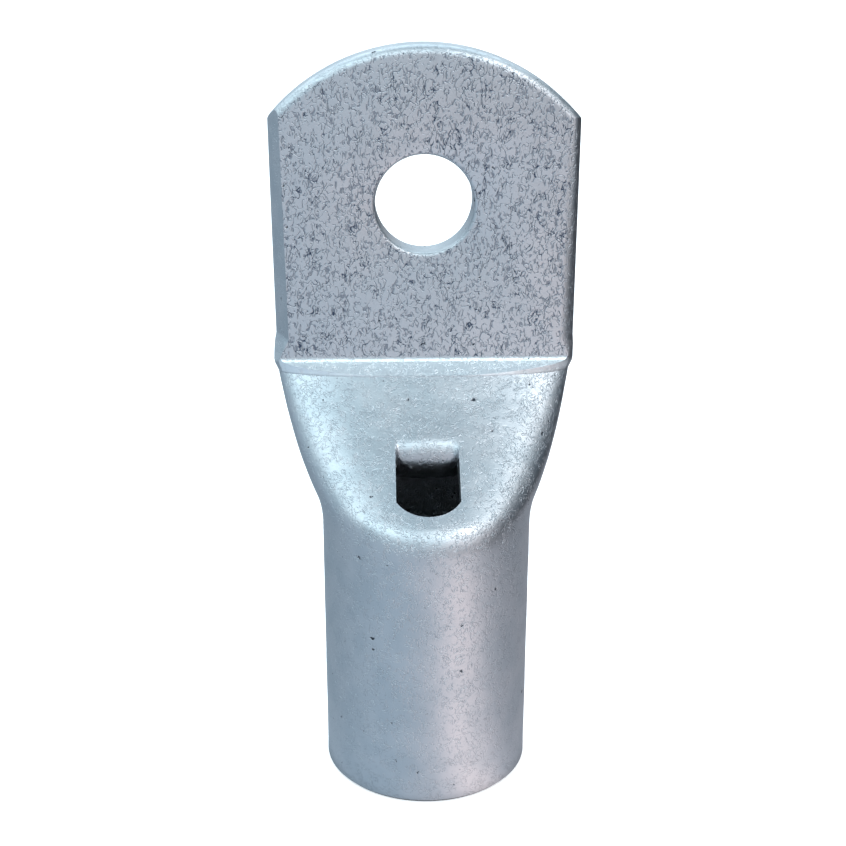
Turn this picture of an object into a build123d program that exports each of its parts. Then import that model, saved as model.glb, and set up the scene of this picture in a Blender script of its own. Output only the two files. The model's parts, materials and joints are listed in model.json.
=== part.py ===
from build123d import *
import os
from math import cos, pi, radians, sin, sqrt, tan

# Compression lug, made from one length of copper tube and tinned. Sizes in millimetres.
# Z runs up the barrel from the middle of its mouth, X across the palm, and the window faces -Y.

# Tube that the lug is made from
tube_diameter = 22.5
wall = 2.0

# Barrel, the stretch that stays round and takes the conductor
barrel_length = 28.9
mouth_lead_in = 0.7
mouth_edge_chamfer = 0.4

# Ramp down the front of the neck, where the tube is pressed from round to flat
ramp_foot_radius = 4.0
ramp_foot_angle = 32.0
ramp_hollow_radius = 90.0

# Shape of the neck's level sections between the round and the flat
neck_side_bulge = 0.45
neck_front_fullness = 0.55
neck_back_fullness = 4.0
neck_back_onset = 1.5
neck_back_spare = 0.45
neck_sections = 12
neck_foot_crowding = 1.5
hollow_sections = 9
hollow_foot_crowding = 1.0

# Step between the top of the ramp and the palm
step_height = 1.16
step_angle = 28.0

# Palm, the flat end that is bolted down
palm_length = 33.54
palm_end_radius = 21.8
palm_corner_radius = 1.2
palm_rolled_edge = 1.1

# Slope pressed along each long edge of the palm's front
strip_angle = 27.0
strip_width_low = 1.75
strip_width_high = 1.25
strip_run_out = 2.4
strip_run_out_clear = 0.6

# Stud hole through the palm
stud_hole_diameter = 10.5
stud_hole_from_end = 16.4
stud_hole_chamfer = 0.25

# Window in the ramp, by the heights of its foot and top over the barrel
window_width = 6.7
window_foot_rise = 4.2
window_top_rise = 10.1
window_foot_arc = 3.9
window_punch_depth = 3.0

# Tongue, the window's own metal, bent in and back as a stop for the conductor
tongue_thickness = 1.8
tongue_bend_radius = 2.6
tongue_droop = 31.0
tongue_reach = 7.2
tongue_root = 1.0
tongue_root_sink = 0.1

# Gap left between the two walls where the hollow of the neck ends
slit = 1.2

# Sizes that follow from the ones above
outer_radius = tube_diameter / 2
bore_radius = outer_radius - wall
girth = 2 * pi * (outer_radius - wall / 2)
palm_back = outer_radius
palm_thickness = 2 * wall
palm_front = palm_back - palm_thickness
palm_half_width = (girth - pi * wall) / 4 + wall
foot_centre_y = ramp_foot_radius - outer_radius
both_arcs = ramp_foot_radius + ramp_hollow_radius
hollow_centre_y = foot_centre_y - both_arcs * sin(radians(ramp_foot_angle))
hollow_centre_z = barrel_length + both_arcs * cos(radians(ramp_foot_angle))
beyond = 3 * tube_diameter


def ramp_front(height, inset=0):
    """Y of the front wall at a height, at its face or at an inset behind it."""
    if height <= barrel_length + (ramp_foot_radius - inset) * cos(radians(ramp_foot_angle)):
        return foot_centre_y - sqrt((ramp_foot_radius - inset) ** 2 - (height - barrel_length) ** 2)
    return hollow_centre_y + sqrt((ramp_hollow_radius + inset) ** 2 - (hollow_centre_z - height) ** 2)


def ramp_height(front, inset=0):
    """Height where the ramp, or a face at an inset behind it, comes to a Y."""
    return hollow_centre_z - sqrt((ramp_hollow_radius + inset) ** 2 - (front - hollow_centre_y) ** 2)


def ramp_slope(height):
    """Direction up the ramp at a height, as a flat vector of Y and Z."""
    return Vector(hollow_centre_z - height, ramp_front(height) - hollow_centre_y).normalized()


# Heights set by where the ramp comes to the step, and where its inside comes to the back wall
ramp_top = ramp_height(palm_front - step_height / tan(radians(step_angle)))
hollow_top = ramp_height(palm_back - wall - slit, wall)
palm_start = ramp_top + step_height
total_length = palm_start + palm_length
stud_hole_height = total_length - stud_hole_from_end
strip_full_height = palm_start + strip_run_out


def oval(height, half_width, front, back, front_power, back_power, points=24):
    """A level closed section, round where both powers are 2 and squarer where they are more."""
    middle = (front + back) / 2
    half_depth = (back - front) / 2
    outline = []
    for number in range(points):
        across = cos(2 * pi * number / points)
        along = sin(2 * pi * number / points)
        power = back_power if along > 0 else front_power
        scale = (abs(across) ** power + abs(along) ** power) ** (-1 / power)
        outline.append(Vector(half_width * across * scale, middle + half_depth * along * scale, height))
    return Face(Wire(Edge.make_spline(outline, periodic=True)))


def neck_section(height, inset=0):
    """The pressed tube at a height, outside, or inside where the inset is the wall."""
    half_depth = (palm_back - ramp_front(min(height, ramp_top))) / 2
    pressed = (outer_radius - half_depth) / (outer_radius - wall)
    midway = 4 * pressed * (1 - pressed)
    flat = (girth - 2 * pi * (half_depth - wall / 2)) / 4
    half_width = flat + half_depth + neck_side_bulge * midway
    if height > ramp_top:
        share = min((height - ramp_top) / step_height, 1)
        half_width += (palm_half_width - half_width) * sin(share * pi / 2)
    front = ramp_front(height, inset) if inset else palm_back - 2 * half_depth
    back = palm_back - inset if inset else palm_back + neck_back_spare * pressed
    front_power = 2 + neck_front_fullness * midway
    back_power = 2 + neck_back_fullness * pressed**neck_back_onset
    return oval(height, half_width - inset, front, back, front_power, back_power)


def neck_loft(radius, top, count, crowding, inset=0):
    """The neck from the round of the barrel to a height, with its sections crowded to the foot."""
    sections = [Face(Wire(Edge.make_circle(radius, Plane.XY.offset(barrel_length))))]
    for number in range(1, count):
        share = (number / (count - 1)) ** crowding
        sections.append(neck_section(barrel_length + (top - barrel_length) * share, inset))
    return loft(sections)


def edge_strip(side):
    """What the press takes off one long edge of the palm's front, running out down the neck."""
    lean = tan(radians(strip_angle))
    stations = [
        (palm_start - strip_run_out, -strip_run_out_clear),
        (strip_full_height, strip_width_low),
        (total_length + wall, strip_width_high),
    ]
    faces = []
    for height, width in stations:
        edge = palm_half_width - width
        corners = [
            (side * (edge - beyond * lean), palm_front - beyond),
            (side * (edge + palm_thickness * lean), palm_back),
            (side * (palm_half_width + beyond), palm_back),
            (side * (palm_half_width + beyond), palm_front - beyond),
        ]
        faces.append(Plane.XY.offset(height) * make_face(Polyline(*corners, close=True)))
    return loft(faces, ruled=True)


def palm_outline():
    """The outline of the palm from the front, with the arc of its end and its eased corners."""
    half = palm_half_width
    corner = total_length - palm_end_radius + sqrt(palm_end_radius**2 - half**2)
    sides = Polyline((-half, corner), (-half, 0), (half, 0), (half, corner))
    outline = make_face(sides + ThreePointArc((half, corner), (0, total_length), (-half, corner)))
    return fillet(outline.vertices().group_by(Axis.Y)[-1], palm_corner_radius)


def arc_ended_strip(start, end):
    """A flat strip as wide as the window, from a straight start to an arc at its end."""
    half = window_width / 2
    sagitta = window_foot_arc - sqrt(window_foot_arc**2 - half**2)
    shoulder = end - sagitta if end > start else end + sagitta
    sides = Polyline((-half, shoulder), (-half, start), (half, start), (half, shoulder))
    return make_face(sides + ThreePointArc((half, shoulder), (0, end), (-half, shoulder)))


def window():
    """What the punch opens in the ramp's wall, square to the ramp."""
    foot_height = barrel_length + window_foot_rise
    top_height = barrel_length + window_top_rise
    middle = (foot_height + top_height) / 2
    slope = ramp_slope(middle)
    face = Plane((0, ramp_front(middle), middle), x_dir=(1, 0, 0), z_dir=(0, -slope.Y, slope.X))
    foot = face.to_local_coords(Vector(0, ramp_front(foot_height), foot_height)).Y
    top = face.to_local_coords(Vector(0, ramp_front(top_height), top_height)).Y
    return extrude(face * arc_ended_strip(top, foot), window_punch_depth, both=True)


def tongue():
    """The tongue, rooted in the wall over the window, with its side view in Y and Z."""
    root_height = barrel_length + window_top_rise
    root = Vector(ramp_front(root_height), root_height)
    up_ramp = ramp_slope(root_height)
    off_ramp = Vector(-up_ramp.Y, up_ramp.X)
    droop = radians(tongue_droop)
    run = Vector(cos(droop), -sin(droop))
    off_run = Vector(-sin(droop), -cos(droop))
    middle = root - off_ramp * tongue_bend_radius
    bend_end = middle + off_run * tongue_bend_radius
    inner_radius = tongue_bend_radius - tongue_thickness
    inner_start = middle + off_ramp * inner_radius
    inner_end = middle + off_run * inner_radius
    tip = bend_end + run * tongue_reach
    held = up_ramp * tongue_root
    outer_bend = TangentArc(root, bend_end, tangent=-up_ramp)
    inner_bend = TangentArc(inner_start, inner_end, tangent=-up_ramp)
    run_edges = Polyline(bend_end, tip, tip - off_run * tongue_thickness, inner_end)
    root_edges = Polyline(inner_start, inner_start + held, root + held - off_ramp * tongue_root_sink, root)
    side_view = make_face(outer_bend + run_edges + inner_bend + root_edges)
    strip = extrude(Plane.YZ * side_view, window_width / 2, both=True)
    under = Plane((0, bend_end.X, bend_end.Y), x_dir=(-1, 0, 0), z_dir=(0, off_run.X, off_run.Y))
    return strip & extrude(under * arc_ended_strip(-beyond, tongue_reach), beyond, both=True)


# Round barrel, with the outer edge of its mouth eased
barrel = Cylinder(outer_radius, barrel_length, align=(Align.CENTER, Align.CENTER, Align.MIN))
barrel = chamfer(barrel.edges().group_by(Axis.Z)[0], mouth_edge_chamfer)

# Neck and the blank of the palm, as the tube leaves the flattening press
blank_start = neck_section(ramp_top)
blank_full = neck_section(palm_start)
neck = neck_loft(outer_radius, ramp_top, neck_sections, neck_foot_crowding)
lug = barrel + neck + loft([blank_start, blank_full])
lug += extrude(blank_full, palm_length, dir=(0, 0, 1))

# Flat front of the palm with the step at its foot, and the flat back
step_run_out = (palm_front - beyond, palm_start - beyond * tan(radians(step_angle)))
front_foot = (palm_front, palm_start)
front_top = (palm_front, total_length + wall)
front_clear = (palm_front - beyond, total_length + wall)
front_side_view = make_face(Polyline(step_run_out, front_foot, front_top, front_clear, close=True))
lug -= extrude(Plane.YZ * front_side_view, beyond, both=True)
back_press = Box(beyond, beyond, total_length, align=(Align.CENTER, Align.MIN, Align.MIN))
lug -= Pos(0, palm_back, barrel_length + wall / 2) * back_press

# Sloped long edges and the arc of the end
lug = lug - edge_strip(1) - edge_strip(-1)
lug &= extrude(Plane.XZ * palm_outline(), beyond, both=True)

# Bore with its lead-in, and the hollow that narrows up to where the walls meet
lug -= Cylinder(bore_radius, barrel_length, align=(Align.CENTER, Align.CENTER, Align.MIN))
lug -= neck_loft(bore_radius, hollow_top, hollow_sections, hollow_foot_crowding, wall)
mouth_cone = Cone(bore_radius + mouth_lead_in, bore_radius, mouth_lead_in)
lug -= Pos(0, 0, mouth_lead_in / 2) * mouth_cone

# Window with its tongue
lug = lug - window() + tongue()

# Front edge rolled over round the palm's end
arcs = lug.edges().filter_by(GeomType.CIRCLE)
front_arcs = arcs.filter_by(lambda edge: abs(edge.center().Y - palm_front) < stud_hole_chamfer)
lug = fillet(front_arcs.sort_by(Axis.Z)[-1], palm_rolled_edge)

# Stud hole with its edges broken
stud_hole = Cylinder(stud_hole_diameter / 2, beyond)
lug -= Plane.XZ * Pos(0, stud_hole_height) * stud_hole
arcs = lug.edges().filter_by(GeomType.CIRCLE)
hole_edges = arcs.filter_by(lambda edge: abs(edge.radius - stud_hole_diameter / 2) < stud_hole_chamfer / 2)
lug = chamfer(hole_edges, stud_hole_chamfer)

os.makedirs("parts", exist_ok=True)
export_step(lug, "parts/lug_body.step")
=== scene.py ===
import json
from math import asin, atan2, cos, hypot, pi, radians, sin, sqrt, tan

import bmesh
import bpy
from mathutils import Matrix, Vector, noise


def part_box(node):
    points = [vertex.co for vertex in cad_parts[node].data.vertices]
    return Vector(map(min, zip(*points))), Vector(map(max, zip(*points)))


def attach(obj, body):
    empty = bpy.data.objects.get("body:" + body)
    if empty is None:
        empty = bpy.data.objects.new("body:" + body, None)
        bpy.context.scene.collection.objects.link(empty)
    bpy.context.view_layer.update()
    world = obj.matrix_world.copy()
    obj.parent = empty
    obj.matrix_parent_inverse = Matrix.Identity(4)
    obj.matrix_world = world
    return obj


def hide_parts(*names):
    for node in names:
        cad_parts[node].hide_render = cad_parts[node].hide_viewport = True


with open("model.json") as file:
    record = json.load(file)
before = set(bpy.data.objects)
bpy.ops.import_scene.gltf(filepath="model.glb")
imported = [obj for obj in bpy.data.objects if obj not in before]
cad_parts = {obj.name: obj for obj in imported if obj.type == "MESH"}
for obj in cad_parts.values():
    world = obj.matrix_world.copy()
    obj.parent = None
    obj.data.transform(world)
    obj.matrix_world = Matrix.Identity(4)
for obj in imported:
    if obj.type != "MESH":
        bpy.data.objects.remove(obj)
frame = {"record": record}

bpy.ops.object.select_all(action="DESELECT")
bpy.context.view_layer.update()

# Lug body. One length of copper tube: round where the conductor goes in, pressed flat where it is
# bolted down, and tinned all over. It is made of a tube and a core, which are pressed and then cut.
MM = 0.001
skin = 0.01 * MM
low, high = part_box("lug_body")
mounts = {mount["name"]: mount for mount in frame["record"]["mounts"]}
tube_radius = -low[1]
bore_radius = mounts["cable_bore"]["dims"]["r_mm"] * MM
wall = tube_radius - bore_radius
lug_length = high[2]
palm_back = tube_radius
palm_front = palm_back - 2 * wall
palm_half_width = high[0]
girth = 2 * pi * (tube_radius - wall / 2)

barrel_length = 28.9 * MM
ramp_foot_radius = 4 * MM
ramp_foot_angle = radians(32)
ramp_hollow_radius = 90 * MM
step_height = 1.16 * MM
step_angle = radians(28)
neck_side_bulge = 0.45 * MM
neck_front_fullness = 0.55
neck_back_fullness = 4.0
neck_back_onset = 1.5
neck_back_spare = 0.45 * MM
slit = 1.2 * MM

foot_centre_y = ramp_foot_radius - tube_radius
both_arcs = ramp_foot_radius + ramp_hollow_radius
hollow_centre_y = foot_centre_y - both_arcs * sin(ramp_foot_angle)
hollow_centre_z = barrel_length + both_arcs * cos(ramp_foot_angle)


def ramp_front(height, inset=0.0):
    """Y of the front wall at a height, at its face or at an inset behind it."""
    foot_arc = ramp_foot_radius - inset
    if height <= barrel_length + foot_arc * cos(ramp_foot_angle):
        return foot_centre_y - sqrt(foot_arc**2 - (height - barrel_length) ** 2)
    return hollow_centre_y + sqrt((ramp_hollow_radius + inset) ** 2 - (hollow_centre_z - height) ** 2)


def ramp_height(front, inset=0.0):
    """Height where the ramp, or a face at an inset behind it, comes to a Y."""
    return hollow_centre_z - sqrt((ramp_hollow_radius + inset) ** 2 - (front - hollow_centre_y) ** 2)


ramp_top = ramp_height(palm_front - step_height / tan(step_angle))
palm_start = ramp_top + step_height
hollow_top = ramp_height(palm_back - wall - slit, wall)


def pressed_point(turn, height, inset=0.0):
    """Where the press takes a point of the tube, given by its turn round the tube and its height."""
    across = cos(turn)
    along = sin(turn)
    radius = tube_radius - inset
    if height <= barrel_length:
        return Vector((radius * across, radius * along, height))
    half_depth = (palm_back - ramp_front(min(height, ramp_top))) / 2
    pressed = (tube_radius - half_depth) / (tube_radius - wall)
    midway = 4 * pressed * (1 - pressed)
    flat = (girth - 2 * pi * (half_depth - wall / 2)) / 4
    half_width = flat + half_depth + neck_side_bulge * midway
    if height > ramp_top:
        share = min((height - ramp_top) / step_height, 1.0)
        half_width += (palm_half_width - half_width) * sin(share * pi / 2)
    front = ramp_front(height, inset) if inset else palm_back - 2 * half_depth
    back = palm_back - inset if inset else palm_back + neck_back_spare * pressed
    if along > 0:
        power = 2 + neck_back_fullness * pressed**neck_back_onset
    else:
        power = 2 + neck_front_fullness * midway
    scale = (abs(across) ** power + abs(along) ** power) ** (-1 / power)
    across *= (half_width - inset) * scale
    along *= (back - front) / 2 * scale
    return Vector((across, min((front + back) / 2 + along, palm_back), height))


def select_only(*pieces):
    bpy.ops.object.select_all(action="DESELECT")
    for piece in pieces:
        piece.select_set(True)
    bpy.context.view_layer.objects.active = pieces[0]


def select_edges(piece, wanted):
    """Selects the edges of a piece in edit mode whose two ends pass a test together."""
    bpy.ops.mesh.select_all(action="DESELECT")
    mesh = bmesh.from_edit_mesh(piece.data)
    for edge in mesh.edges:
        first, second = edge.verts
        if wanted(first.co, second.co):
            edge.select_set(True)
    bmesh.update_edit_mesh(piece.data)


def tube(name, radius, length, sides, cuts):
    """An open upright tube with as many level rings as the cuts, squared, give."""
    bpy.ops.mesh.primitive_cylinder_add(
        vertices=sides, radius=radius, depth=length, end_fill_type="NOTHING", location=(0, 0, length / 2)
    )
    made = bpy.context.object
    made.name = name
    bpy.ops.object.transform_apply(location=True, rotation=False, scale=False)
    bpy.ops.object.mode_set(mode="EDIT")
    for round_of_cuts in range(2):
        select_edges(made, lambda first, second: abs(first.z - second.z) > radius * 1e-4)
        bpy.ops.mesh.subdivide(number_cuts=cuts)
    bpy.ops.object.mode_set(mode="OBJECT")
    return made


sides = 180
shell_cuts = 13
core_cuts = 10
shell = tube("lug_tube", tube_radius, lug_length + wall, sides, shell_cuts)
for vertex in shell.data.vertices:
    turn = atan2(vertex.co.y, vertex.co.x)
    vertex.co = pressed_point(turn, vertex.co.z)
core = tube("lug_core", bore_radius, hollow_top, sides, core_cuts)
for vertex in core.data.vertices:
    turn = atan2(vertex.co.y, vertex.co.x)
    vertex.co = pressed_point(turn, vertex.co.z, wall)

# eased mouth: the end rings move in and out by the ease before the walls are joined
mouth_lead_in = 0.7 * MM
mouth_edge = 0.4 * MM


def select_ring(piece, height, reach=1e-6):
    """Selects a piece's level ring of edges at a height, in edit mode."""
    select_edges(piece, lambda first, second: max(abs(first.z - height), abs(second.z - height)) < reach)


for piece, radius, flare, top in (
    (shell, tube_radius, -mouth_edge, lug_length + wall),
    (core, bore_radius, mouth_lead_in, hollow_top),
):
    drop = abs(flare)
    select_only(piece)
    bpy.ops.object.mode_set(mode="EDIT")
    select_ring(piece, 0)
    bpy.ops.transform.translate(value=(0, 0, drop))
    bpy.ops.mesh.extrude_edges_move(TRANSFORM_OT_translate={"value": (0, 0, -drop)})
    bpy.ops.transform.resize(value=(1 + flare / radius, 1 + flare / radius, 1))
    if piece == shell:
        bpy.ops.mesh.extrude_edges_move()
        share = (bore_radius + mouth_lead_in) / (tube_radius - mouth_edge)
        bpy.ops.transform.resize(value=(share, share, 1))
    select_ring(piece, top)
    bpy.ops.mesh.edge_face_add()
    bpy.ops.object.mode_set(mode="OBJECT")

select_only(shell, core)
bpy.ops.object.join()
bpy.ops.object.mode_set(mode="EDIT")
bpy.ops.mesh.select_all(action="SELECT")
bpy.ops.mesh.remove_doubles(threshold=skin / 4)
bpy.ops.mesh.normals_make_consistent(inside=False)
bpy.ops.object.mode_set(mode="OBJECT")


def cut(piece, cutter, operation="DIFFERENCE"):
    """Cuts a piece with a closed cutter, both as flat triangles, and takes the cutter away."""
    select_only(piece, cutter)
    bpy.ops.object.mode_set(mode="EDIT")
    bpy.ops.mesh.select_all(action="SELECT")
    bpy.ops.mesh.quads_convert_to_tris(quad_method="FIXED", ngon_method="BEAUTY")
    bpy.ops.object.mode_set(mode="OBJECT")
    modifier = piece.modifiers.new("cut", "BOOLEAN")
    modifier.operation = operation
    modifier.solver = "EXACT"
    modifier.object = cutter
    bpy.ops.object.modifier_apply(modifier=modifier.name)
    bpy.data.objects.remove(cutter)


def block(name, corners_low, corners_high):
    """A box between two corners."""
    size = [b - a for a, b in zip(corners_low, corners_high)]
    middle = [(a + b) / 2 for a, b in zip(corners_low, corners_high)]
    bpy.ops.mesh.primitive_cube_add(size=1, location=middle, scale=size)
    made = bpy.context.object
    made.name = name
    bpy.ops.object.transform_apply(location=True, rotation=True, scale=True)
    return made


def prism(name, outline, along):
    """A closed prism from a flat outline of points and the way it runs."""
    bpy.ops.mesh.primitive_circle_add(vertices=len(outline), fill_type="NGON")
    made = bpy.context.object
    made.name = name
    for vertex, corner in zip(made.data.vertices, outline):
        vertex.co = corner
    bpy.ops.object.mode_set(mode="EDIT")
    bpy.ops.mesh.select_all(action="SELECT")
    bpy.ops.mesh.extrude_region_move(TRANSFORM_OT_translate={"value": tuple(along)})
    bpy.ops.mesh.select_all(action="SELECT")
    bpy.ops.mesh.normals_make_consistent(inside=False)
    bpy.ops.object.mode_set(mode="OBJECT")
    return made


def bevel_edges(piece, wanted, offset, segments):
    """Rounds the edges of a piece whose two ends pass a test."""
    select_only(piece)
    bpy.ops.object.mode_set(mode="EDIT")
    select_edges(piece, lambda first, second: wanted(first) and wanted(second))
    bpy.ops.mesh.bevel(offset=offset, segments=segments, profile=0.5, affect="EDGES")
    bpy.ops.object.mode_set(mode="OBJECT")


# window: a U-shaped cut through the ramp, whose flap is bent in and back further on, as the tongue
window_half = 3.35 * MM
window_tips = barrel_length + 8.0 * MM
window_foot = barrel_length + 3.9 * MM
window_foot_arc = 3.9 * MM
kerf = 0.04 * MM
tongue_root = barrel_length + 9.5 * MM
tongue_bend = 2.5 * MM
tongue_droop = radians(22)
finer_share = 1.2
cutter_walls = 2.6


def ramp_up(height):
    """Direction up the ramp's face at a height."""
    return Vector((0, hollow_centre_z - height, ramp_front(height) - hollow_centre_y)).normalized()


root = Vector((0, ramp_front(tongue_root), tongue_root))
up_ramp = ramp_up(tongue_root)
off_ramp = Vector((0, -up_ramp.z, up_ramp.y))


def down_ramp(height):
    """Distance down the ramp's tangent plane from the tongue's root to a height on the ramp."""
    return (root - Vector((0, ramp_front(height), height))).dot(up_ramp)


tips_down = down_ramp(window_tips)
foot_down = down_ramp(window_foot)


def flap_outline(inset, points=24):
    """The flap's outline, as distances across and down from the tongue's root."""
    half = window_half - inset
    radius = window_foot_arc - inset
    reach = asin(half / radius)
    outline = [(-half, tips_down)]
    for number in range(points + 1):
        turn = reach * (2 * number / points - 1)
        outline.append((radius * sin(turn), foot_down - inset - radius + radius * cos(turn)))
    outline.append((half, tips_down))
    return outline


select_only(shell)
bpy.ops.object.mode_set(mode="EDIT")
mesh = bmesh.from_edit_mesh(shell.data)
for face in mesh.faces:
    centre = face.calc_center_median()
    near = abs(centre.x) < window_half * finer_share
    level = window_foot - wall / 2 < centre.z < tongue_root + wall / 2
    face.select_set(near and level and centre.y < ramp_front(centre.z, wall) + wall)
bmesh.update_edit_mesh(shell.data)
bpy.ops.mesh.subdivide(number_cuts=2)
bpy.ops.object.mode_set(mode="OBJECT")
outline = []
for across, down in flap_outline(0) + flap_outline(kerf)[::-1]:
    outline.append(root + Vector((across, 0, 0)) - up_ramp * down + off_ramp * wall)
cut(shell, prism("window_cutter", outline, -off_ramp * cutter_walls * wall))

# stud hole: punched while the mesh is still regular, with round edges where the palm's faces will be
stud_hole = mounts["stud_hole"]
hole_radius = stud_hole["dims"]["r_mm"] * MM
hole_height = stud_hole["pos_m"][2]
hole_edge = 0.45 * MM
punch_half = wall + skin / 2
punch_sides = 144
punch_cuts = 71
bpy.ops.mesh.primitive_cylinder_add(
    vertices=punch_sides, radius=hole_radius, depth=2 * punch_half, end_fill_type="NOTHING"
)
punch = bpy.context.object
bpy.ops.object.mode_set(mode="EDIT")
select_edges(punch, lambda first, second: abs(first.z - second.z) > skin)
bpy.ops.mesh.subdivide(number_cuts=punch_cuts)
for end in (-punch_half, punch_half):
    select_ring(punch, end)
    bpy.ops.mesh.extrude_edges_move(TRANSFORM_OT_translate={"value": (0, 0, end)})
    bpy.ops.mesh.edge_face_add()
bpy.ops.object.mode_set(mode="OBJECT")
for vertex in punch.data.vertices:
    depth = min(max(punch_half - abs(vertex.co.z), 0), hole_edge)
    flare = hole_edge - sqrt(hole_edge**2 - (hole_edge - depth) ** 2)
    share = 1 + flare / hole_radius
    along = palm_front + wall + vertex.co.z
    vertex.co = Vector((vertex.co.x * share, along, hole_height + vertex.co.y * share))
select_only(punch)
bpy.ops.object.mode_set(mode="EDIT")
bpy.ops.mesh.select_all(action="SELECT")
bpy.ops.mesh.normals_make_consistent(inside=False)
bpy.ops.object.mode_set(mode="OBJECT")
cut(shell, punch)

# front press: a block whose underside leans down away from the palm, which leaves the step
beyond = 3 * tube_radius
step_corner = 0.45 * MM
step_segments = 5
press_low = (-beyond, palm_front - beyond, palm_start)
press = block("front_press", press_low, (beyond, palm_front, lug_length + beyond))
for vertex in press.data.vertices:
    if vertex.co.z < lug_length and vertex.co.y < palm_front - wall:
        vertex.co.z -= beyond * tan(step_angle)
bevel_edges(
    press, lambda place: place.z < lug_length and place.y > palm_front - wall, step_corner, step_segments
)
cut(shell, press)

# strips: what the press squeezes off along the two long edges of the palm
strip_angle = radians(27)
strip_width_low = 1.75 * MM
strip_width_high = 1.25 * MM
strip_run_out = 2.4 * MM
strip_run_out_clear = 0.6 * MM
right_edge_round = 1.7 * MM
right_edge_steps = 8
stations = (
    (palm_start - strip_run_out, -strip_run_out_clear),
    (palm_start + strip_run_out, strip_width_low),
    (lug_length + wall, strip_width_high),
)


def strip_profile(side, width):
    """Places across and behind the palm's front along what a strip's cut leaves."""
    inner = palm_half_width - width
    profile = [(inner - beyond * tan(strip_angle), -beyond)]
    if side < 0:
        return profile + [(inner + 2 * wall * tan(strip_angle), 2 * wall)]
    for number in range(right_edge_steps + 1):
        turn = pi / 2 * number / right_edge_steps
        profile.append((inner + max(width, 0) * sin(turn), right_edge_round * (1 - cos(turn))))
    return profile + [(palm_half_width + skin, 2 * wall)]


def edge_strip(side):
    """What the press squeezes off one long edge of the palm, running out down the neck."""
    rows = []
    for height, width in stations:
        profile = strip_profile(side, width)
        far = palm_half_width + beyond
        outline = [(far, profile[0][1])] + profile + [(far, profile[-1][1])]
        rows.append([Vector((side * across, palm_front + behind, height)) for across, behind in outline])
    bpy.ops.mesh.primitive_cylinder_add(vertices=len(rows[0]), end_fill_type="NGON")
    made = bpy.context.object
    bpy.ops.object.mode_set(mode="EDIT")
    select_edges(made, lambda first, second: abs(first.z - second.z) > 1)
    bpy.ops.mesh.subdivide(number_cuts=len(stations) - 2)
    bpy.ops.object.mode_set(mode="OBJECT")
    count = len(rows[0])
    for vertex in made.data.vertices:
        level = round((vertex.co.z + 1) / 2 * (len(stations) - 1))
        place = round(atan2(vertex.co.y, vertex.co.x) / (2 * pi) * count) % count
        vertex.co = rows[level][place]
    bpy.ops.object.mode_set(mode="EDIT")
    bpy.ops.mesh.select_all(action="SELECT")
    bpy.ops.mesh.normals_make_consistent(inside=False)
    bpy.ops.object.mode_set(mode="OBJECT")
    return made


for side in (-1, 1):
    cut(shell, edge_strip(side))

# end of the palm: sheared to an arc, with its front edge rolled over and its corners eased
palm_end_radius = 21.8 * MM
palm_corner_radius = 1.2 * MM
palm_rolled_edge = 1.1 * MM
rolled_segments = 6
corner_steps = 8
arc_front = palm_front - skin
arc_centre = lug_length - palm_end_radius
arc_points = 200
arc_half = palm_half_width + wall
arc_reach = asin(arc_half / palm_end_radius)
outline = [Vector((arc_half, arc_front, 0)), Vector((-arc_half, arc_front, 0))]
for number in range(arc_points + 1):
    turn = arc_reach * (2 * number / arc_points - 1)
    height = arc_centre + palm_end_radius * cos(turn)
    outline.append(Vector((palm_end_radius * sin(turn), arc_front, height)))
arc = prism("arc_ended_outline", outline, (0, beyond, 0))
bevel_edges(
    arc,
    lambda place: abs(place.y - arc_front) < skin / 2 and place.z > skin,
    palm_rolled_edge,
    rolled_segments,
)
trim_top = lug_length + beyond
trim = block("end_trim", (-beyond, -beyond, arc_centre + wall), (beyond, beyond - wall, trim_top))
trim_half = palm_half_width + wall / 2
for left, right in ((-beyond, -trim_half), (trim_half, beyond)):
    cut(trim, block("trim_sides", (left, -2 * beyond, 0), (right, 2 * beyond, 2 * lug_length)))
cut(trim, arc)
cut(shell, trim)

eased_across = palm_half_width - palm_corner_radius
eased_out = palm_end_radius - palm_corner_radius
eased_height = arc_centre + sqrt(eased_out**2 - eased_across**2)
eased_reach = atan2(eased_height - arc_centre, eased_across)
for side in (-1, 1):
    outline = []
    for number in range(corner_steps + 1):
        turn = eased_reach * number / corner_steps
        across = eased_across + palm_corner_radius * cos(turn)
        outline.append(Vector((side * across, -beyond, eased_height + palm_corner_radius * sin(turn))))
    outline[0].x += side * skin / 2
    outline[-1] += Vector((side * cos(eased_reach), 0, sin(eased_reach))) * skin / 2
    outline.append(outline[-1] + Vector((side * wall / 2, 0, wall)))
    outline.append(outline[0] + Vector((side * wall, 0, 0)))
    cut(shell, prism("corner_trim", outline, (0, 2 * beyond, 0)))

# tongue: the flap bent in round its root, and then back into the hollow
bend_centre = root - off_ramp * tongue_bend
run = Vector((0, cos(tongue_droop), -sin(tongue_droop)))
off_run = Vector((0, -sin(tongue_droop), -cos(tongue_droop)))
start_turn = atan2(off_ramp.z, off_ramp.y)
full_turn = atan2(off_run.z, off_run.y) % (2 * pi) - start_turn
neutral = tongue_bend - wall / 2


def bent(down, depth, across):
    """Where a point of the flat flap lies once the flap is bent in."""
    turn = down / neutral
    radius = tongue_bend - depth
    past = 0.0
    if turn > full_turn:
        past = (turn - full_turn) * neutral
        turn = full_turn
    arm = Vector((0, cos(start_turn + turn), sin(start_turn + turn)))
    return bend_centre + arm * radius + run * past + Vector((across, 0, 0))


def ease(value):
    """Rises smoothly from 0 to 1 while a value does."""
    value = min(max(value, 0.0), 1.0)
    return value * value * (3 - 2 * value)


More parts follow.
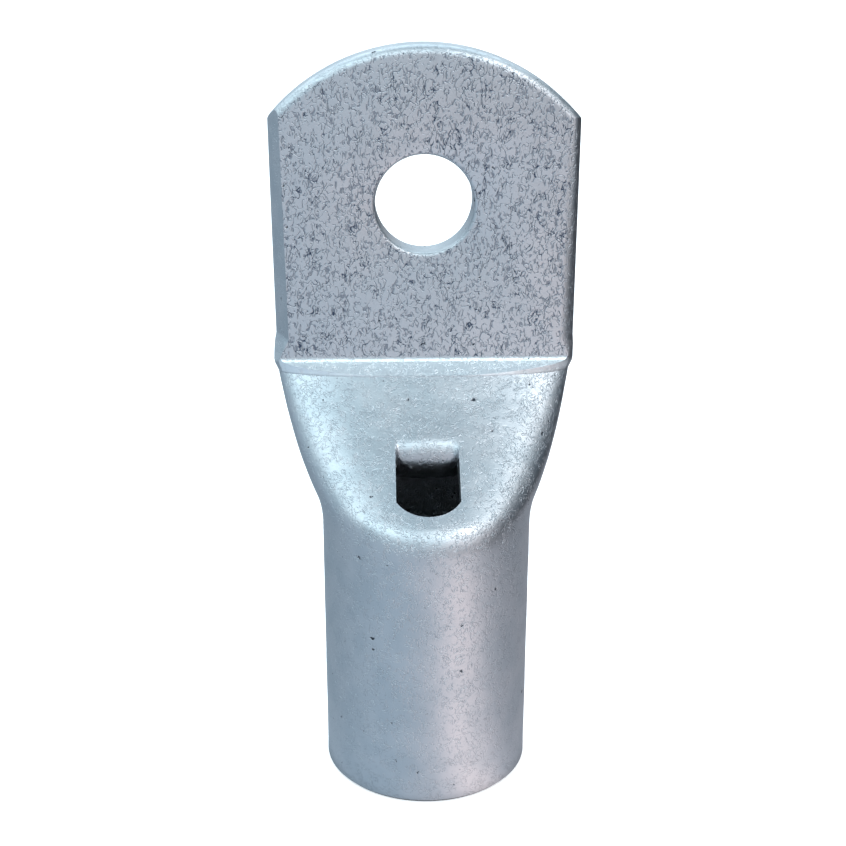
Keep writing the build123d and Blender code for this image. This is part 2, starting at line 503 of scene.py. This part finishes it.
# the flap's sides are left behind where it is cut, so each folds along a straight crease
crease_half = 1.55 * MM
crease_turn = radians(40)
crease_reach = 1.1 * MM
crease_start = 0.5
crease_fade = 0.3 * MM
side_share_width = 0.17
flap_front = 0.6 * wall
flap_back = 1.45 * wall
facet_top = bend_centre + Vector((window_half, -tongue_bend, 0))
facet_arm = Vector((0, -cos(crease_turn), -sin(crease_turn))) * tongue_bend
facet_low = bend_centre + facet_arm + Vector((crease_half, 0, 0))
facet_side = bend_centre + off_run * tongue_bend + run * crease_reach + Vector((window_half, 0, 0))
facet_normal = (facet_low - facet_top).cross(facet_side - facet_top).normalized()
if facet_normal.y > 0:
    facet_normal = -facet_normal

for vertex in shell.data.vertices:
    place = vertex.co - root
    down = -place.dot(up_ramp)
    depth = -place.dot(off_ramp)
    across = abs(vertex.co.x)
    if not 0 < down < foot_down + wall / 2:
        continue
    if not -flap_front < depth < flap_back:
        continue
    inside = across < window_half - kerf / 2
    side_share = ease((window_half - across) / (window_half * side_share_width))
    if down > tips_down - skin:
        if not inside:
            continue
        outline_down = foot_down - window_foot_arc + sqrt(window_foot_arc**2 - across**2)
        if down > outline_down - kerf / 2:
            continue
        side_share = 1 - (1 - side_share) * max(0.0, 1 - (down - tips_down) / crease_fade)
    target = bent(down, depth, vertex.co.x)
    mirrored = Vector((across, target.y, target.z))
    outside = (mirrored - facet_top).dot(facet_normal)
    if outside > 0 and across > crease_half * crease_start and depth < wall / 2:
        target.y += outside / abs(facet_normal.y)
    vertex.co = vertex.co.lerp(target, side_share)

# dents: the barrel and the ramp are very slightly uneven, always inward
dent_depth = 0.05 * MM
dent_size = 2.6 * MM
normals = [vertex.normal.copy() for vertex in shell.data.vertices]
for vertex, normal in zip(shell.data.vertices, normals):
    place = vertex.co.copy()
    level = max(min(place.z, ramp_top), barrel_length)
    outer = hypot(place.x, place.y) > bore_radius + wall / 2 or place.y < ramp_front(level, wall / 2)
    room = palm_back - wall / 2 - place.y
    if outer and skin < place.z < ramp_top and room > 0:
        share = min(place.z / wall, (ramp_top - place.z) / wall, room / wall, 1)
        dent = dent_depth * (0.5 + 0.5 * noise.noise(place / dent_size)) * share
        vertex.co = place - normal * dent


# shader maths: what varies in a shader, with plain operators in the place of Math nodes
class Field:
    """A varying number, colour or place in a shader."""

    def __init__(self, tree, socket):
        self.tree = tree
        self.socket = socket

    def maths(self, operation, *values):
        made = add_node(self.tree, "ShaderNodeMath", {"operation": operation}, dict(enumerate(values)))
        return Field(self.tree, made.outputs[0])

    def __add__(self, other):
        return self.maths("ADD", self, other)

    def __radd__(self, other):
        return self.maths("ADD", other, self)

    def __sub__(self, other):
        return self.maths("SUBTRACT", self, other)

    def __rsub__(self, other):
        return self.maths("SUBTRACT", other, self)

    def __mul__(self, other):
        return self.maths("MULTIPLY", self, other)

    def __rmul__(self, other):
        return self.maths("MULTIPLY", other, self)

    def __truediv__(self, other):
        return self.maths("DIVIDE", self, other)

    def __pow__(self, power):
        return self.maths("POWER", self, power)

    def __abs__(self):
        return self.maths("ABSOLUTE", self)

    def above_zero(self):
        return self.maths("MAXIMUM", self, 0.0)

    def between(self, low, high):
        """Rises smoothly from 0 to 1 between two values, or falls where the first is the larger."""
        limits = {"Value": self, "From Min": min(low, high), "From Max": max(low, high)}
        made = add_node(self.tree, "ShaderNodeMapRange", {"interpolation_type": "SMOOTHSTEP"}, limits)
        rises = Field(self.tree, made.outputs["Result"])
        return rises if low < high else 1 - rises


def plug(tree, slot, value):
    """Links a field to a slot, or sets a constant on it, where a colour gets its fourth number."""
    if isinstance(value, Field):
        tree.links.new(value.socket, slot)
    elif slot.type == "RGBA":
        slot.default_value = (*value, 1)
    else:
        slot.default_value = value


def add_node(tree, kind, settings, sockets):
    """A new node: its settings are set first, and then the values or links of its sockets."""
    made = tree.nodes.new(kind)
    for name, value in settings.items():
        setattr(made, name, value)
    for slot, value in sockets.items():
        plug(tree, made.inputs[slot], value)
    return made


def coordinates(tree, kind):
    """Places of one kind on what is shaded, or directions in the world's shader."""
    return Field(tree, add_node(tree, "ShaderNodeTexCoord", {}, {}).outputs[kind])


def axes(tree, vector):
    """The three axes of a vector, as fields."""
    made = add_node(tree, "ShaderNodeSeparateXYZ", {}, {"Vector": vector})
    return [Field(tree, output) for output in made.outputs]


def noise_field(tree, vector, scale, detail=2.0, distortion=0.0):
    """Smooth noise from 0 to 1 with its middle near a half."""
    sockets = {"Vector": vector, "Scale": scale, "Detail": detail, "Distortion": distortion}
    return Field(tree, add_node(tree, "ShaderNodeTexNoise", {}, sockets).outputs["Fac"])


def mixed(tree, share, first, second):
    """Two colours mixed by a share."""
    sockets = {"Factor": share, 6: first, 7: second}
    return Field(tree, add_node(tree, "ShaderNodeMix", {"data_type": "RGBA"}, sockets).outputs[2])


def moved(tree, vector, shift, stretch=(1, 1, 1)):
    """A vector scaled and shifted, which turns one noise into another."""
    sockets = {"Vector": vector, "Location": shift, "Scale": stretch}
    return Field(tree, add_node(tree, "ShaderNodeMapping", {}, sockets).outputs[0])


# tin: satin plate over the copper, dull and bluish. The flattened palm is creased all over with short
# lines, painted dark as shade in their grooves, and the rest carries the fine worm-like marks of the
# tumbling drum, lightly painted as shade, with a few pitted spots painted near black as shade. The palm
# is painted a little lighter than the rest as a painted reflection, and the step lightest as a painted
# highlight.
palm_fade = 0.12
palm_reach = 0.04
dull_tin = (0.50, 0.52, 0.55)
clear_tin = (0.56, 0.565, 0.59)
palm_reflection_paint = (0.64, 0.645, 0.67)
step_highlight_paint = (0.88, 0.90, 0.92)
crease_shade_paint = (0.08, 0.10, 0.15)
pit_shade_paint = (0.05, 0.055, 0.07)
wave_height = 0.05
crease_depth = 0.035
worm_depth = 0.022
pit_depth = 0.06
grain_height = 0.016
satin_roughness = 0.33
grain_roughness = 0.10
crease_roughness = 0.2
tin = bpy.data.materials.new("satin_tin")
tin.use_nodes = True
tree = tin.node_tree
shader = tree.nodes["Principled BSDF"]
place = moved(tree, coordinates(tree, "Object"), (0, 0, 0), (1 / MM, 1 / MM, 1 / MM))
across, behind, height = axes(tree, place)
on_front = behind.between(palm_front / MM + palm_fade, palm_front / MM + palm_reach)
on_back = behind.between(palm_back / MM - palm_fade, palm_back / MM - palm_reach)
on_palm = height.between(palm_start / MM + 0.1, palm_start / MM + 0.5) * (on_front + on_back)
off_palm = 1 - on_palm

crease_large = noise_field(tree, moved(tree, place, (3, 0, 7), (1, 1, 0.75)), 0.85, 2.5, 0.5)
crease_fine = noise_field(tree, moved(tree, place, (11, 5, 2), (1, 1, 0.7)), 1.9, 1.5, 0.8)
gate_large = noise_field(tree, moved(tree, place, (1, 9, 4)), 0.7, 1.0)
gate_fine = noise_field(tree, moved(tree, place, (8, 2, 5)), 1.5, 1.0)
long_creases = abs(crease_large - 0.5).between(0.022, 0.0) * gate_large.between(0.48, 0.55)
short_creases = abs(crease_fine - 0.5).between(0.07, 0.0) * gate_fine.between(0.36, 0.48)
crease_marks_and_shade = (long_creases + 0.8 * short_creases) * on_palm

worm = noise_field(tree, moved(tree, place, (2, 6, 1)), 1.6, 1.0, 1.4)
worm_gate = noise_field(tree, moved(tree, place, (5, 3, 8)), 1.1, 1.0)
worm_marks_and_shade = abs(worm - 0.5).between(0.06, 0.0) * worm_gate.between(0.38, 0.5) * off_palm
grain = noise_field(tree, moved(tree, place, (4, 4, 4)), 6.0, 3.0, 0.3)
pits_and_shade = noise_field(tree, moved(tree, place, (7, 1, 3)), 1.1, 3.0).between(0.70, 0.76)
waves = noise_field(tree, moved(tree, place, (9, 9, 1)), 0.5, 1.0)

relief = waves * wave_height - crease_marks_and_shade * crease_depth - worm_marks_and_shade * worm_depth
relief = relief - pits_and_shade * pit_depth + grain * grain_height
bump = add_node(tree, "ShaderNodeBump", {}, {"Strength": 1.0, "Distance": MM, "Height": relief})
plug(tree, shader.inputs["Normal"], Field(tree, bump.outputs["Normal"]))

stained = noise_field(tree, moved(tree, place, (6, 2, 9)), 0.25, 3.0)
colour = mixed(tree, stained.between(0.35, 0.65), dull_tin, clear_tin)
# the palm painted a little lighter: a painted reflection on its flat faces
colour = mixed(tree, on_palm * 0.6, colour, palm_reflection_paint)
# the step: a band painted near white, a painted highlight for the overhead light it catches
painted_step_highlight = height.between(ramp_top / MM - 0.15, ramp_top / MM + 0.1)
painted_step_highlight = painted_step_highlight * height.between(palm_start / MM + 0.2, palm_start / MM) * on_front
colour = mixed(tree, painted_step_highlight, colour, step_highlight_paint)
# crease lines and worm marks darkened: painted shade in their grooves
colour = mixed(tree, crease_marks_and_shade * 0.80 + worm_marks_and_shade * 0.08, colour, crease_shade_paint)
# pitted spots painted near black: painted shade inside them
colour = mixed(tree, pits_and_shade, colour, pit_shade_paint)
plug(tree, shader.inputs["Base Color"], colour)
plug(tree, shader.inputs["Metallic"], 1.0)
roughness = satin_roughness + grain * grain_roughness + crease_marks_and_shade * crease_roughness
plug(tree, shader.inputs["Roughness"], roughness)
shell.data.materials.clear()
shell.data.materials.append(tin)

select_only(shell)
shell.name = "tinned_lug"
shell.data.name = "tinned_lug"
bpy.ops.object.shade_smooth_by_angle(angle=radians(28))
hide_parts("lug_body")
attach(shell, "root")


# Stage. A table top and a backdrop of matte white paper, which show as plain white. The metal doesn't
# mirror them: it gets its light from the glowing reflection card and the studio further on.
def plain_white(name, glow):
    """A matte white that also glows a little, so that it comes out as plain white paper."""
    made = bpy.data.materials.new(name)
    made.use_nodes = True
    matte = made.node_tree.nodes["Principled BSDF"]
    matte.inputs["Base Color"].default_value = (0.8, 0.8, 0.8, 1)
    matte.inputs["Roughness"].default_value = 1.0
    matte.inputs["Emission Color"].default_value = (1, 1, 1, 1)
    matte.inputs["Emission Strength"].default_value = glow
    return made


stage_size = 4
bpy.ops.mesh.primitive_plane_add(size=stage_size, location=(0, 0, 0))
floor = bpy.context.object
floor.name = "floor"
floor.data.materials.append(plain_white("white_floor", 0.55))
floor.visible_glossy = False
bpy.ops.mesh.primitive_plane_add(size=stage_size, rotation=(pi / 2, 0, 0), location=(0, 1.6, 1.9))
backdrop = bpy.context.object
backdrop.name = "backdrop"
backdrop.data.materials.append(plain_white("white_backdrop", 0.9))
backdrop.visible_glossy = False

# Reflection card. A glowing card laid under the lug, which only the metal sees, painted with the studio
# it
# mirrors: bluish on the left, a painted pinkish white key light at the front right, darker far out on
# the right, and black under the barrel, a painted shadow of the lug.
bpy.ops.mesh.primitive_plane_add(size=stage_size, location=(0, 0, -skin))
card = bpy.context.object
card.name = "reflection_card"
card.visible_camera = False
card.visible_diffuse = False
card.visible_shadow = False
glowing_card = bpy.data.materials.new("glowing_reflection_card")
glowing_card.use_nodes = True
tree = glowing_card.node_tree
across, behind, height = axes(tree, coordinates(tree, "Object"))
distance_out = (across * across + behind * behind) ** 0.5
key_azimuth = radians(32)
side_azimuth = radians(-10)
card_glow = 0.44
front_glow = 0.29
key_glow = 0.58
painted_shadow_within = 10 * MM
lit_beyond = 13 * MM
fall_from = 70 * MM
fall_to = 130 * MM
fall_share = 0.85


def facing(azimuth):
    """How far a place on the card lies towards an azimuth, from -1 to 1."""
    return (across * sin(azimuth) - behind * cos(azimuth)) / (distance_out + skin)


front_share = (facing(side_azimuth) * 0.5 + 0.5) ** 1.5
key_share = facing(key_azimuth).above_zero() ** 12
right_fall = 1 - across.between(fall_from, fall_to) * fall_share
level = (card_glow + front_share * front_glow + key_share * key_glow) * right_fall
leftness = (across / (distance_out + skin)).between(0.5, -0.7)
tint = mixed(tree, leftness, (0.93, 1.0, 1.12), (0.78, 1.0, 1.20))
tint = mixed(tree, key_share, tint, (1.08, 1.0, 1.03))
# black under the barrel: a painted shadow of the lug on the glowing card
level = level * distance_out.between(painted_shadow_within, lit_beyond)
lit = add_node(tree, "ShaderNodeVectorMath", {"operation": "SCALE"}, {0: tint, "Scale": level})
glow = tree.nodes["Principled BSDF"]
plug(tree, glow.inputs["Base Color"], (0, 0, 0))
plug(tree, glow.inputs["Specular IOR Level"], 0)
plug(tree, glow.inputs["Emission Color"], Field(tree, lit.outputs[0]))
plug(tree, glow.inputs["Emission Strength"], 1.0)
card.data.materials.append(glowing_card)

# Light. A studio's soft bluish light: dim overhead, a bright band high up in front, a soft box high on
# either side, the key light at the front right, brighter again at the back, and a dark right side.
low_left_light = (0.52, 0.68, 0.80)
low_right_light = (0.60, 0.64, 0.70)
overhead_light = (0.32, 0.44, 0.52)
back_light = (1.60, 2.00, 2.20)
band_light = (1.50, 1.90, 2.05)
left_box_light = (2.20, 2.85, 3.05)
right_box_light = (5.60, 5.70, 5.75)
key_light = (3.4, 3.2, 3.2)
dark_side = (0.08, 0.11, 0.14)
spot_azimuth = radians(38)
world = bpy.data.worlds.new("studio")
world.use_nodes = True
bpy.context.scene.world = world
tree = world.node_tree
right, away, up_way = axes(tree, coordinates(tree, "Generated"))
aloft = up_way.between(0.20, 0.60)
band = up_way.between(0.40, 0.66) * up_way.between(0.95, 0.84) * away.between(0.25, -0.15)
left_box = (right * -0.47 - away * 0.35 + up_way * 0.81).above_zero() ** 34
right_box = (right * 0.50 - away * 0.45 + up_way * 0.74).above_zero() ** 38
shaded = right.between(0.35, 0.65) * away.between(-0.60, -0.30) * up_way.between(0.92, 0.55)
key_spot = (right * sin(spot_azimuth) - away * cos(spot_azimuth)).above_zero() ** 10
key_spot = key_spot * up_way.between(0.0, 0.5)
sky = mixed(tree, right.between(-0.6, 0.5), low_left_light, low_right_light)
for share, light in (
    (aloft, overhead_light),
    (away.between(0.10, 0.30) * aloft, back_light),
    (band, band_light),
    (left_box, left_box_light),
    (right_box, right_box_light),
    (key_spot, key_light),
    (shaded, dark_side),
):
    sky = mixed(tree, share, sky, light)
plug(tree, tree.nodes["Background"].inputs["Color"], sky)
plug(tree, tree.nodes["Background"].inputs["Strength"], 1.0)
bpy.context.scene.view_settings.view_transform = "Standard"

# Camera. It stands at the place and angle that the outline of the lug in the photograph gives, above
# the lug and a little to one side, and looks slightly down on it.
focal_pixels = 1390.285
picture_width = 846
sensor_width = 36
shift_right = 0.301 * MM
shift_up = -37.433 * MM
distance = 161.556 * MM
tilt = radians(20.206)
turn = radians(2.015)
roll = radians(0.115)
tilted = Matrix(((1, 0, 0), (0, cos(tilt), -sin(tilt)), (0, sin(tilt), cos(tilt))))
turned = Matrix(((cos(turn), -sin(turn), 0), (sin(turn), cos(turn), 0), (0, 0, 1)))
rolled = Matrix(((cos(roll), 0, sin(roll)), (0, 1, 0), (-sin(roll), 0, cos(roll))))
view = rolled @ tilted @ turned
camera = bpy.data.objects.new("camera", bpy.data.cameras.new("camera"))
bpy.context.scene.collection.objects.link(camera)
camera.data.sensor_width = sensor_width
camera.data.lens = focal_pixels / picture_width * sensor_width
camera.data.clip_start = 0.01
back = view.transposed()
stand = -(back @ Vector((shift_right, distance, shift_up)))
aim = back @ Matrix(((1, 0, 0), (0, 0, -1), (0, 1, 0)))
camera.matrix_world = Matrix.Translation(stand) @ aim.to_4x4()
bpy.context.scene.camera = camera
